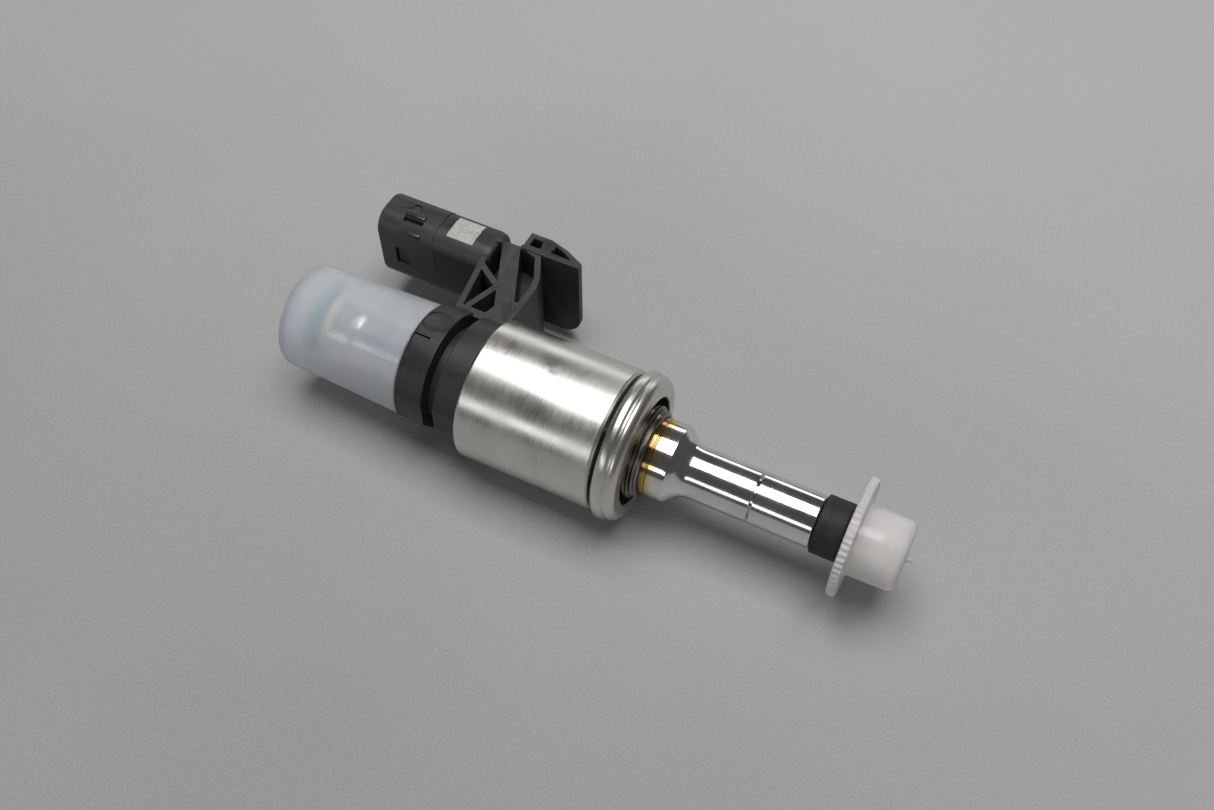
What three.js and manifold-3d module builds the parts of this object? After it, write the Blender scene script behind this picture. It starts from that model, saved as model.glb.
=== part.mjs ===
// Petrol direct-injection fuel injector with its two transport caps, in millimetres.
// It lies on its side: the injector's axis runs along +X towards the nozzle, +Z is up, and the
// electrical connector is beside it at +Y. Stations along the axis count from the seam between the
// magnet housing and the mounting flange. The finished group stands on z = 0, centred in X and Y.
import * as THREE from 'three';
import { mergeVertices } from 'three/addons/utils/BufferGeometryUtils.js';
import Module from 'manifold-3d';

const wasm = await Module();
wasm.setup();

// ---- driving dimensions ------------------------------------------------------------------------

// How round the turned pieces are, outside and inside
const outerSides = 36;
const innerSides = 20;

// Gaps: between pieces pressed or moulded together, between pieces that slide, between end faces
const pressGap = 0.05;
const slideGap = 0.1;
const endGap = 0.3;

// Magnet housing, its end cover and the seam beside the flange
const seamWidth = 0.5;
const housingRadius = 10.35;
const housingLength = 20.75;
const housingWall = 1.05;
const housingChamfer = 0.3;
const yokeThickness = 3;
const coverThickness = 1.8;

// Mounting flange with its recess, and the three stepped rings inside the recess
const flangeRadius = 11;
const flangeLength = 3.5;
const flangeBandLength = 1.7;
const flangeRidgeDrop = 0.2;
const flangeNose = 0.75;
const recessRadius = 7.9;
const recessFloor = 1.35;
const weldRingRadii = [7.3, 6.85, 6.35];
const weldRingEnds = [2.45, 4.25, 5.2];

// Valve body, stem and nozzle
const rootRadius = 5.65;
const rootBore = 3.4;
const shoulderStation = 8.8;
const shoulderChamfer = 0.4;
const coneLength = 2.8;
const stemRadius = 3.76;
const stemBore = 1.95;
const stemWeldStation = 20.36;
const stemWeldWidth = 0.25;
const spigotRadius = 2.9;
const spigotLength = 2;
const sealStation = 29.3;
const sealLength = 3.8;
const sealRadius = 4.14;
const sealGrooveRadius = 3.1;
const nozzleEnd = 38.2;
const guideLength = 3;
const seatRadius = 2.9;
const seatLength = 3.6;
const seatThroatRadius = 0.5;
const seatConeAngle = 34;
const seatFloor = 0.55;
const tipDome = 0.8;

// Valve sleeve, pole, armature and needle
const sleeveRadius = 5;
const sleeveWall = 0.5;
const poleLength = 14.2;
const springBore = 2.2;
const armatureLength = 7;
const airGap = 0.15;
const needleRadius = 1;
const ballRadius = 1.35;
const needleCollarLength = 2.4;
const armatureStopLength = 0.8;
const adjusterLength = 3.4;
const adjusterBore = 1.3;
const springWire = 0.62;
const springTurns = 6;

// Coil
const bobbinWall = 0.7;
const bobbinFlange = 0.8;

// Inlet tube with its O-ring seat
const tubeReach = 18.8;
const tubeBore = 1.9;
const tubeShoulderRadius = 5.4;
const tubeShoulderLength = 3.4;
const ringSeatRadius = 2.75;
const ringSection = 2.7;
const backupLength = 1.1;
const tubeLipRadius = 4.4;
const tubeLipLength = 0.9;
const filterLength = 4;
const filterWall = 0.35;

// Moulded collar around the tube
const collarRadius = 9.2;
const collarLength = 10.1;
const collarChamfer = 0.35;
const bandLength = 4.6;
const collarGrooveLength = 1.9;
const collarGrooveRadius = 8;
const collarFootWidth = 7.6;
const collarFootLength = 3.8;

// Flats along the collar's underside, on both sides: the normal's angle from the top, the distance
const collarFlats = [[88, 8.88], [123.5, 8.4]];

// Moulded arm, in plan: ribs stand on a web and join the collar to the connector. Points are given
// as [station past the collar's end, height above the housing's surface]; roots lie in the collar.
const armHalfHeight = 6.2;
const webHalfThickness = 1.1;
const ribThickness = 0.9;
const armRoot = -4.15;
const strut = {
  root: [-8.1, armRoot], fork: [-9.5, 5.35], apex: [-9.7, 6.6], crossing: [-5.2, 2.45],
  lowRoot: [-7.4, -3.4],
};
const sill = [[-8, armRoot], [-3.2, armRoot], [-3.2, -2.75], [-8, -2.75]];
const strip = [
  [-4.6, armRoot], [-3.65, -1.1], [-8.9, 10.85], [-5.9, 10.85], [-1.4, 0.75], [-0.9, 1.15],
  [-0.1, -1.25], [-0.1, armRoot],
];
const outerRib = [[-0.55, armRoot + 1], [-0.3, 4.45], [-0.65, 6.25], [-2.6, 10.2]];

// Moulded tab beside the arm: a tall plate with a pocketed rim, placed like the arm's points
const tabReach = 4;
const tabLength = 9.6;
const tabHeight = 10.55;
const tabRimDepth = 3.4;
const tabTaperLength = 6.1;
const tabWall = 1;
const tabPocketFloor = 2.2;
const tabDrop = 2.4;
const tabCorner = 3.3;

// Connector shroud and its two blades
const shroudSetback = 9.2;
const shroudLength = 19.5;
const shroudHeight = 6.05;
const shroudDepth = 7.9;
const shroudHalfHeight = 6.4;
const shroudCorner = 3;
const shroudWall = 1.15;
const socketDepth = 9;
const latchRibLength = 4;
const latchRibThickness = 0.7;
const latchRibHeight = 0.45;
const latchRibInsets = [3.1, 0.95];
const latchRibDrops = [0, 0.85];
const latchSetback = 3.8;
const bladeSpacing = 5;
const bladeWidth = 0.65;
const bladeThickness = 0.8;
const bladeReach = 4.6;
const bladeRoot = 4;

// Inlet cap
const capClosedRadius = 7.9;
const capOpenRadius = 8.5;
const capWall = 0.9;
const capEndSpace = 1.1;
const capEdge = 0.8;

// Nozzle cap
const nozzleCapFlangeRadius = 8.4;
const nozzleCapFlangeLength = 1.3;
const nozzleCapRadius = 5.05;
const nozzleCapLength = 7.9;
const nozzleCapWall = 1.05;
const nozzleCapEdge = 0.7;
const nibRadius = 0.45;
const nibLength = 0.9;

// ---- derived stations and radii ----------------------------------------------------------------

const housingEnd = -seamWidth / 2;
const housingStart = housingEnd - housingLength;
const housingBore = housingRadius - housingWall;
const yokeBore = sleeveRadius + pressGap;
const bobbinStart = housingStart + coverThickness + 2 * endGap;
const bobbinEnd = housingEnd - yokeThickness - endGap;
const bobbinRadius = housingBore - endGap;
const windingRadius = bobbinRadius - 0.5;
const spoolRadius = yokeBore + bobbinWall;

const flangeStart = seamWidth / 2;
const flangeEnd = flangeStart + flangeLength;
const restingRadius = flangeRadius * Math.cos(Math.PI / outerSides);
const flangeBore = rootRadius + pressGap;
const valveStart = flangeStart + endGap;

const poleFace = (bobbinStart + bobbinEnd) / 2;
const poleStart = poleFace - poleLength;
const sleeveStart = poleStart;
const sleeveEnd = valveStart - endGap;
const armatureStart = poleFace + airGap;
const armatureEnd = armatureStart + armatureLength;
const needleTop = armatureStart - needleCollarLength;
const needleCollarEnd = armatureStart - pressGap;
const stopStart = armatureEnd + pressGap;
const adjusterStart = poleStart + endGap;
const springStart = adjusterStart + adjusterLength + pressGap;
const springEnd = needleTop - slideGap;

const sealEnd = sealStation + sealLength;
const seatStart = nozzleEnd - seatLength + 1;
const seatEnd = nozzleEnd + 1;
const throatStation = seatEnd - seatFloor;
const coneSlope = THREE.MathUtils.degToRad(seatConeAngle);
const ballCentre = throatStation
  - (ballRadius + pressGap - seatThroatRadius * Math.cos(coneSlope)) / Math.sin(coneSlope);
const needleEnd = ballCentre - ballRadius - pressGap;

const collarEnd = housingStart - endGap;
const collarStart = collarEnd - collarLength;
const tubeEnd = collarStart - tubeReach;
const tubeFoot = poleStart - endGap;
const shoulderStart = tubeEnd + tubeLipLength + 2 * slideGap + ringSection + backupLength + endGap;
const ringCentre = tubeEnd + tubeLipLength + slideGap + ringSection / 2;

const onArm = ([along, out]) => [collarEnd + along, housingRadius + out];
const shroudEnd = collarEnd - shroudSetback;
const shroudMouth = shroudEnd - shroudLength;
const shroudNear = housingRadius + shroudHeight;
const shroudFar = shroudNear + shroudDepth;
const bladeCentre = (shroudNear + shroudFar) / 2;
const latchStation = shroudMouth + latchSetback;
const tabEnd = collarEnd + tabReach;
const tabStart = tabEnd - tabLength;
const tabTaperStart = tabEnd - tabTaperLength;
const tabFront = housingRadius + tabHeight;

const capOpen = collarStart - endGap;
const capClosed = tubeEnd - capEndSpace - capWall;
const nozzleCapStart = sealEnd + endGap;
const nozzleCapFlangeEnd = nozzleCapStart + nozzleCapFlangeLength;
const nozzleCapEnd = nozzleCapStart + nozzleCapLength;

// ---- materials ---------------------------------------------------------------------------------

function material(color, roughness, metalness) {
  return new THREE.MeshStandardMaterial({ color, roughness, metalness });
}

const brushedSteel = material(0xb8b6b0, 0.32, 1);
const polishedSteel = material(0xc9c8c6, 0.12, 1);
const tintedSteel = material(0x9c7a45, 0.3, 1);
const darkSteel = material(0x6e6d6b, 0.4, 1);
const blackPlastic = material(0x1b1c1e, 0.6, 0);
const milkyPlastic = material(0xdfe4ea, 0.35, 0);
const tealRubber = material(0x2f6f75, 0.55, 0);
const creamPlastic = material(0xe8dfc8, 0.5, 0);
const blackSeal = material(0x232323, 0.7, 0);
const bobbinPlastic = material(0x3a3b3d, 0.6, 0);
const copper = material(0xb06a3b, 0.35, 1);
const filterMesh = material(0xa58c5a, 0.5, 0.6);
const springSteel = material(0x8c8c8e, 0.3, 1);
const tinnedBrass = material(0xc7c2ad, 0.3, 1);

// ---- shape helpers -----------------------------------------------------------------------------

const injector = new THREE.Group();

function place(name, geometry, look) {
  const mesh = new THREE.Mesh(geometry, look);
  mesh.name = name;
  injector.add(mesh);
  return mesh;
}

// A profile is a list of [station, radius]. It runs along the outside towards the nozzle and back
// along the bore, or starts and ends on the axis.
function turned(profile, sides) {
  const points = profile.map(([station, radius]) => new THREE.Vector2(radius, station));
  const startsOnAxis = profile[0][1] === 0;
  if (!startsOnAxis) points.push(points[0].clone());
  return new THREE.LatheGeometry(points, sides, Math.PI / sides).rotateZ(-Math.PI / 2);
}

function tube(start, end, outer, bore, sides) {
  return turned([[start, outer], [end, outer], [end, bore], [start, bore]], sides);
}

// Points on an arc in the station-radius plane, angles in degrees from +X towards larger radius
function arc(station, radius, size, from, to, steps) {
  const points = [];
  for (let i = 0; i <= steps; i += 1) {
    const angle = THREE.MathUtils.degToRad(from + ((to - from) * i) / steps);
    points.push([station + size * Math.cos(angle), radius + size * Math.sin(angle)]);
  }
  return points;
}

function toSolid(geometry) {
  const bare = geometry.clone();
  bare.deleteAttribute('normal');
  bare.deleteAttribute('uv');
  const merged = mergeVertices(bare, 1e-4);
  return new wasm.Manifold(new wasm.Mesh({
    numProp: 3,
    vertProperties: new Float32Array(merged.attributes.position.array),
    triVerts: new Uint32Array(merged.index.array),
  }));
}

function toGeometry(solid) {
  const { vertProperties, triVerts } = solid.getMesh();
  const geometry = new THREE.BufferGeometry();
  geometry.setAttribute('position', new THREE.BufferAttribute(vertProperties, 3));
  geometry.setIndex(new THREE.BufferAttribute(triVerts, 1));
  geometry.computeVertexNormals();
  return geometry;
}

function shapeOf(points) {
  return new THREE.Shape(points.map(([x, y]) => new THREE.Vector2(x, y)));
}

// A plan outline in X and Y, extruded from bottom to top
function prism(points, bottom, top) {
  const depth = top - bottom;
  const geometry = new THREE.ExtrudeGeometry(shapeOf(points), { depth, bevelEnabled: false });
  return toSolid(geometry.translate(0, 0, bottom));
}

// A rib that follows a line of points in plan, with mitred corners
function rib(line, bottom, top) {
  const points = line.map(([x, y]) => new THREE.Vector2(x, y));
  const normals = points.slice(1).map((point, i) => {
    const along = point.clone().sub(points[i]).normalize();
    return new THREE.Vector2(-along.y, along.x);
  });
  const offsets = points.map((_, i) => {
    const before = normals[Math.max(i - 1, 0)];
    const after = normals[Math.min(i, normals.length - 1)];
    const mitre = before.clone().add(after);
    return mitre.multiplyScalar(ribThickness / 2 / mitre.dot(before));
  });
  const left = points.map((point, i) => point.clone().add(offsets[i]).toArray());
  const right = points.map((point, i) => point.clone().sub(offsets[i]).toArray());
  return prism([...right, ...left.reverse()], bottom, top);
}

function block(x0, x1, y0, y1, z0, z1) {
  const geometry = new THREE.BoxGeometry(x1 - x0, y1 - y0, z1 - z0);
  return toSolid(geometry.translate((x0 + x1) / 2, (y0 + y1) / 2, (z0 + z1) / 2));
}

// A bar along X whose section in Y and Z is a rectangle with round corners
function roundedBar(x0, x1, y0, y1, halfHeight, corner) {
  const shape = new THREE.Shape();
  shape.absarc(y1 - corner, halfHeight - corner, corner, 0, Math.PI / 2);
  shape.absarc(y0 + corner, halfHeight - corner, corner, Math.PI / 2, Math.PI);
  shape.absarc(y0 + corner, corner - halfHeight, corner, Math.PI, 1.5 * Math.PI);
  shape.absarc(y1 - corner, corner - halfHeight, corner, 1.5 * Math.PI, 2 * Math.PI);
  const geometry = new THREE.ExtrudeGeometry(shape, {
    depth: x1 - x0, bevelEnabled: false, curveSegments: 5,
  });
  const axes = new THREE.Matrix4().makeBasis(
    new THREE.Vector3(0, 1, 0),
    new THREE.Vector3(0, 0, 1),
    new THREE.Vector3(1, 0, 0),
  );
  return toSolid(geometry.applyMatrix4(axes).translate(x0, 0, 0));
}

// ---- magnet housing and mounting flange --------------------------------------------------------

place('magnet_housing', turned([
  [housingStart, housingRadius - housingChamfer],
  [housingStart + housingChamfer, housingRadius],
  [housingEnd - housingChamfer, housingRadius],
  [housingEnd, housingRadius - housingChamfer],
  [housingEnd, yokeBore],
  [housingEnd - yokeThickness, yokeBore],
  [housingEnd - yokeThickness, housingBore],
  [housingStart, housingBore],
], outerSides), brushedSteel);

place('magnet_cover', tube(
  housingStart + endGap, housingStart + endGap + coverThickness, housingBore - pressGap, yokeBore,
  outerSides,
), darkSteel);

const bandEnd = flangeStart + flangeBandLength;
place('mounting_flange', turned([
  [flangeStart, housingRadius - housingChamfer],
  [flangeStart + 0.6, flangeRadius],
  [bandEnd, flangeRadius],
  [bandEnd + flangeRidgeDrop, flangeRadius - flangeRidgeDrop],
  [bandEnd + 2 * flangeRidgeDrop, flangeRadius - flangeRidgeDrop],
  [bandEnd + 3 * flangeRidgeDrop, flangeRadius - flangeRidgeDrop / 2],
  [flangeEnd - flangeNose, flangeRadius - flangeRidgeDrop],
  [flangeEnd, flangeRadius - flangeNose],
  [flangeEnd, recessRadius],
  [recessFloor, recessRadius],
  [recessFloor, flangeBore],
  [flangeStart, flangeBore],
], outerSides), brushedSteel);

const weldRingNames = ['weld_ring_outer', 'weld_ring_middle', 'weld_ring_inner'];
weldRingNames.forEach((name, i) => {
  const start = i === 0 ? recessFloor + slideGap : weldRingEnds[i - 1] + pressGap;
  place(name, tube(start, weldRingEnds[i], weldRingRadii[i], flangeBore, outerSides), tintedSteel);
});

// ---- valve body, nozzle and seat ---------------------------------------------------------------

const weldStart = stemWeldStation - stemWeldWidth / 2;
const weldEnd = stemWeldStation + stemWeldWidth / 2;
const spigotStart = weldEnd - spigotLength;
const coneEnd = shoulderStation + coneLength;

place('valve_body', turned([
  [valveStart, rootRadius],
  [shoulderStation - shoulderChamfer, rootRadius],
  [shoulderStation, rootRadius - shoulderChamfer / 3],
  [coneEnd - coneLength / 4, stemRadius + 0.25],
  [coneEnd, stemRadius],
  [weldStart, stemRadius],
  [weldStart, spigotRadius + pressGap],
  [spigotStart - slideGap, spigotRadius + pressGap],
  [spigotStart - slideGap, stemBore],
  [coneEnd, stemBore],
  [shoulderStation, rootBore],
  [valveStart, rootBore],
], outerSides), polishedSteel);

place('nozzle_body', turned([
  [spigotStart, spigotRadius],
  [weldEnd, spigotRadius],
  [weldEnd, stemRadius],
  [sealStation - slideGap, stemRadius],
  [sealStation - slideGap, sealGrooveRadius],
  [sealEnd + slideGap, sealGrooveRadius],
  [sealEnd + slideGap, stemRadius],
  [nozzleEnd - 0.4, stemRadius],
  [nozzleEnd, stemRadius - 0.4],
  [nozzleEnd, seatRadius + pressGap],
  [seatStart - slideGap, seatRadius + pressGap],
  [seatStart - slideGap, stemBore],
  [spigotStart, stemBore],
], outerSides), polishedSteel);

place('needle_guide', tube(
  seatStart - slideGap - endGap - guideLength, seatStart - slideGap - endGap,
  stemBore - pressGap, needleRadius + pressGap, innerSides,
), darkSteel);

const seatConeLength = (stemBore - seatThroatRadius) / Math.tan(coneSlope);
place('valve_seat', turned([
  [throatStation, 0],
  [throatStation, seatThroatRadius],
  [throatStation - seatConeLength, stemBore],
  [seatStart, stemBore],
  [seatStart, seatRadius],
  [seatEnd - 0.4, seatRadius],
  [seatEnd, seatRadius - 0.6],
  [seatEnd + tipDome * 0.7, seatRadius * 0.45],
  [seatEnd + tipDome, 0],
], innerSides), polishedSteel);

place('combustion_seal', tube(
  sealStation, sealEnd, sealRadius, sealGrooveRadius + pressGap, outerSides,
), blackSeal);

// ---- sleeve, pole and coil ---------------------------------------------------------------------

const sleeveBore = sleeveRadius - sleeveWall;
place('valve_sleeve', tube(sleeveStart, sleeveEnd, sleeveRadius, sleeveBore, innerSides), darkSteel);

place('pole_core', tube(poleStart, poleFace, sleeveBore - pressGap, springBore, innerSides), darkSteel);

place('coil_bobbin', turned([
  [bobbinStart, bobbinRadius],
  [bobbinStart + bobbinFlange, bobbinRadius],
  [bobbinStart + bobbinFlange, spoolRadius],
  [bobbinEnd - bobbinFlange, spoolRadius],
  [bobbinEnd - bobbinFlange, bobbinRadius],
  [bobbinEnd, bobbinRadius],
  [bobbinEnd, yokeBore + slideGap],
  [bobbinStart, yokeBore + slideGap],
], innerSides), bobbinPlastic);

place('coil_winding', tube(
  bobbinStart + bobbinFlange + slideGap, bobbinEnd - bobbinFlange - slideGap,
  windingRadius, spoolRadius + pressGap, innerSides,
), copper);

// ---- moving valve group ------------------------------------------------------------------------

const needleBore = needleRadius + pressGap;
const armatureRadius = sleeveBore - slideGap;
place('armature', tube(armatureStart, armatureEnd, armatureRadius, needleBore, innerSides), darkSteel);

place('needle_collar', tube(
  needleTop, needleCollarEnd, springBore - slideGap, needleBore, innerSides,
), darkSteel);

place('armature_stop', tube(
  stopStart, stopStart + armatureStopLength, 2 * needleRadius, needleBore, innerSides,
), darkSteel);

place('valve_needle', turned([
  [needleTop, 0], [needleTop, needleRadius], [needleEnd, needleRadius], [needleEnd, 0],
], innerSides), polishedSteel);

place('valve_ball', turned(
  arc(ballCentre, 0, ballRadius, 180, 0, 10).map(([x, r], i) => [x, i % 10 === 0 ? 0 : r]),
  innerSides,
), polishedSteel);

// ---- closing spring ----------------------------------------------------------------------------

class Helix extends THREE.Curve {
  getPoint(t, target = new THREE.Vector3()) {
    const angle = 2 * Math.PI * springTurns * t;
    const x = THREE.MathUtils.lerp(springStart + springWire / 2, springEnd - springWire / 2, t);
    return target.set(x, springRadius * Math.cos(angle), springRadius * Math.sin(angle));
  }
}

const springRadius = springBore - 2 * slideGap - springWire / 2;
const springSection = new THREE.Shape().absarc(0, 0, springWire / 2, 0, 2 * Math.PI);
place('closing_spring', new THREE.ExtrudeGeometry(springSection, {
  steps: springTurns * 10, curveSegments: 6, extrudePath: new Helix(),
}), springSteel);

place('adjusting_sleeve', tube(
  adjusterStart, adjusterStart + adjusterLength, springBore - pressGap, adjusterBore, innerSides,
), darkSteel);

// ---- inlet tube and seals ----------------------------------------------------------------------

place('inlet_tube', turned([
  [tubeEnd, tubeLipRadius - 0.3],
  [tubeEnd + 0.3, tubeLipRadius],
  [tubeEnd + tubeLipLength, tubeLipRadius],
  [tubeEnd + tubeLipLength, ringSeatRadius],
  [shoulderStart, ringSeatRadius],
  [shoulderStart, tubeShoulderRadius],
  [shoulderStart + tubeShoulderLength, tubeShoulderRadius],
  [shoulderStart + tubeShoulderLength + 0.5, sleeveRadius],
  [tubeFoot, sleeveRadius],
  [tubeFoot, tubeBore],
  [tubeEnd, tubeBore],
], outerSides), polishedSteel);

const ringRadius = ringSeatRadius + pressGap + ringSection / 2;
place('inlet_o_ring', turned(
  arc(ringCentre, ringRadius, ringSection / 2, 180, -180, 10).slice(0, -1), outerSides,
), tealRubber);

const backupStart = ringCentre + ringSection / 2 + slideGap;
place('backup_ring', tube(
  backupStart, backupStart + backupLength, tubeShoulderRadius - slideGap,
  ringSeatRadius + pressGap, outerSides,
), creamPlastic);

const filterStart = tubeEnd + endGap;
const filterRadius = tubeBore - pressGap;
place('fuel_filter', turned([
  [filterStart + filterLength - filterWall, 0],
  [filterStart + filterLength - filterWall, filterRadius - filterWall],
  [filterStart, filterRadius - filterWall],
  [filterStart, filterRadius],
  [filterStart + filterLength, filterRadius],
  [filterStart + filterLength, 0],
], innerSides), filterMesh);

// ---- moulded collar, arm, tab and connector shroud ---------------------------------------------

function collarSolid() {
  const grooveStart = collarStart + bandLength;
  const grooveEnd = grooveStart + collarGrooveLength;
  const bands = toSolid(turned([
    [collarStart, collarRadius - collarChamfer],
    [collarStart + collarChamfer, collarRadius],
    [grooveStart, collarRadius],
    [grooveStart, collarGrooveRadius],
    [grooveEnd, collarGrooveRadius],
    [grooveEnd, collarRadius],
    [collarEnd, collarRadius],
    [collarEnd, yokeBore],
    [collarStart, yokeBore],
  ], outerSides));
  const cuts = collarFlats.flatMap(([angle, distance]) => [angle, -angle].map((turn) => {
    const depth = 3;
    const length = collarLength + 2;
    const slab = new THREE.BoxGeometry(length, 3 * collarRadius, depth)
      .translate(collarStart + collarLength / 2, 0, distance + depth / 2)
      .rotateX(THREE.MathUtils.degToRad(turn));
    return toSolid(slab);
  }));
  return cuts.reduce((left, cut) => left.subtract(cut), bands);
}

function footSolid() {
  const start = collarStart + bandLength - 1.3;
  const half = collarFootWidth / 2;
  return block(start, start + collarFootLength, -half, half, -restingRadius, -collarRadius + 1.5);
}

function armSolid() {
  const names = ['root', 'fork', 'apex', 'crossing', 'lowRoot'];
  const [root, fork, apex, crossing, lowRoot] = names.map((name) => onArm(strut[name]));
  const plate = strip.map(onArm);
  const outer = outerRib.map(onArm);
  const [topLeft, topRight] = [plate[2], plate[3]];
  const half = armHalfHeight;
  const links = [
    [root, apex],
    [fork, crossing],
    [lowRoot, crossing],
    [topLeft, [shroudEnd - 1, tabFront]],
    [topRight, [tabStart + tabWall, tabFront + 0.4]],
    [...outer, [tabStart + tabWall, tabFront + 0.3]],
  ];
  const web = [root, plate[7], ...outer.slice(1), topRight, topLeft, apex];
  const slabs = [plate, sill.map(onArm)].map((outline) => prism(outline, -half, half));
  const ribs = links.map((line) => rib(line, -half, half));
  const start = prism(web, -webHalfThickness, webHalfThickness);
  return [...slabs, ...ribs].reduce((sum, solid) => sum.add(solid), start);
}

function tabSolid() {
  const back = tabFront + tabRimDepth;
  const inner = tabFront + tabWall;
  const innerBack = back - tabWall;
  const pocketStart = tabStart + tabWall;
  const taperMiddle = [(tabEnd + tabTaperStart) / 2, back - 0.9];
  const half = shroudHalfHeight;
  const bottom = -half - tabDrop;
  const rim = prism([
    [tabStart, tabFront], [tabEnd, tabFront], [tabEnd, inner], taperMiddle, [tabTaperStart, back],
    [tabStart, back],
  ], bottom, half);
  const [pocketEnd, nextPocket] = [tabTaperStart - tabWall / 2, tabTaperStart + tabWall / 2];
  const pockets = [
    [[pocketStart, inner], [pocketEnd, inner], [pocketEnd, innerBack], [pocketStart, innerBack]],
    [[nextPocket, inner], [tabEnd - 1.6, inner], [nextPocket + 1.9, innerBack - 0.6],
      [nextPocket, innerBack]],
  ];
  const lowCorner = block(
    tabEnd - tabCorner, tabEnd + 1, tabFront - 1, back + 1, bottom - 1, bottom + tabCorner,
  );
  const round = new THREE.CylinderGeometry(tabCorner, tabCorner, tabRimDepth + 4, 24)
    .translate(tabEnd - tabCorner, (tabFront + back) / 2, bottom + tabCorner);
  const cutters = pockets.map((outline) => prism(outline, tabPocketFloor, half + 1));
  cutters.push(lowCorner.subtract(toSolid(round)));
  return cutters.reduce((left, cutter) => left.subtract(cutter), rim);
}

const blades = [-1, 1].map((side) => (side * bladeSpacing) / 2);

function bladeBox(z, grow) {
  const half = bladeWidth / 2 + grow;
  const depth = bladeThickness / 2 + grow;
  const floor = shroudMouth + socketDepth;
  const start = floor - bladeReach;
  const end = floor + bladeRoot + grow;
  return block(start, end, bladeCentre - depth, bladeCentre + depth, z - half, z + half);
}

function shroudSolid() {
  const wall = shroudWall;
  const outside = roundedBar(
    shroudMouth, shroudEnd, shroudNear, shroudFar, shroudHalfHeight, shroudCorner,
  );
  const socket = roundedBar(
    shroudMouth - 1, shroudMouth + socketDepth, shroudNear + wall, shroudFar - wall,
    shroudHalfHeight - wall, shroudCorner - wall,
  );
  const latchRibs = latchRibInsets.map((inset, i) => {
    const y = shroudNear + inset;
    const top = shroudHalfHeight + latchRibHeight - latchRibDrops[i];
    return block(
      latchStation, latchStation + latchRibLength,
      y - latchRibThickness / 2, y + latchRibThickness / 2, top - 1.6, top,
    );
  });
  const body = latchRibs.reduce((sum, latchRib) => sum.add(latchRib), outside);
  return blades.reduce((left, z) => left.subtract(bladeBox(z, pressGap)), body.subtract(socket));
}

const tubeBoreCut = toSolid(turned([
  [collarStart - 1, 0], [collarStart - 1, yokeBore], [collarEnd + 1, yokeBore], [collarEnd + 1, 0],
], outerSides));
const mouldings = [footSolid(), armSolid(), tabSolid(), shroudSolid()];
const overmould = mouldings.reduce((sum, solid) => sum.add(solid), collarSolid());
place('connector_overmould', toGeometry(overmould.subtract(tubeBoreCut)), blackPlastic);

blades.forEach((z, i) => {
  place(`terminal_blade_${i + 1}`, toGeometry(bladeBox(z, 0)), tinnedBrass);
});

// ---- transport caps ----------------------------------------------------------------------------

place('inlet_cap', turned([
  [capClosed, 0],
  [capClosed, capClosedRadius - capEdge],
  [capClosed + capEdge * 0.3, capClosedRadius - capEdge * 0.3],
  [capClosed + capEdge, capClosedRadius],
  [capOpen, capOpenRadius],
  [capOpen, capOpenRadius - capWall],
  [capClosed + capWall + 0.4, capClosedRadius - capWall],
  [capClosed + capWall, capClosedRadius - capWall - 0.4],
  [capClosed + capWall, 0],
], outerSides), milkyPlastic);

const cupBore = stemRadius + slideGap;
place('nozzle_cap', turned([
  [nozzleCapStart, nozzleCapFlangeRadius],
  [nozzleCapFlangeEnd, nozzleCapFlangeRadius],
  [nozzleCapFlangeEnd, nozzleCapRadius],
  [nozzleCapEnd - nozzleCapEdge, nozzleCapRadius],
  [nozzleCapEnd - nozzleCapEdge * 0.3, nozzleCapRadius - nozzleCapEdge * 0.3],
  [nozzleCapEnd, nozzleCapRadius - nozzleCapEdge],
  [nozzleCapEnd, nibRadius],
  [nozzleCapEnd + nibLength, nibRadius * 0.7],
  [nozzleCapEnd + nibLength, 0],
  [nozzleCapEnd - nozzleCapWall, 0],
  [nozzleCapEnd - nozzleCapWall, cupBore],
  [nozzleCapStart, cupBore],
], outerSides), milkyPlastic);

// ---- stand the group on z = 0, centred ---------------------------------------------------------

const box = new THREE.Box3().setFromObject(injector);
const centre = box.getCenter(new THREE.Vector3());
injector.position.set(-centre.x, -centre.y, -box.min.z);

export default injector;
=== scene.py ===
"""Looks for the fuel injector: finely turned and moulded pieces and their materials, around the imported
frame. Lengths are in metres. The injector's axis runs along +X towards the nozzle; MM is a millimetre."""
import math

import bmesh
import bpy
from mathutils import Matrix, Vector


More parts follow.
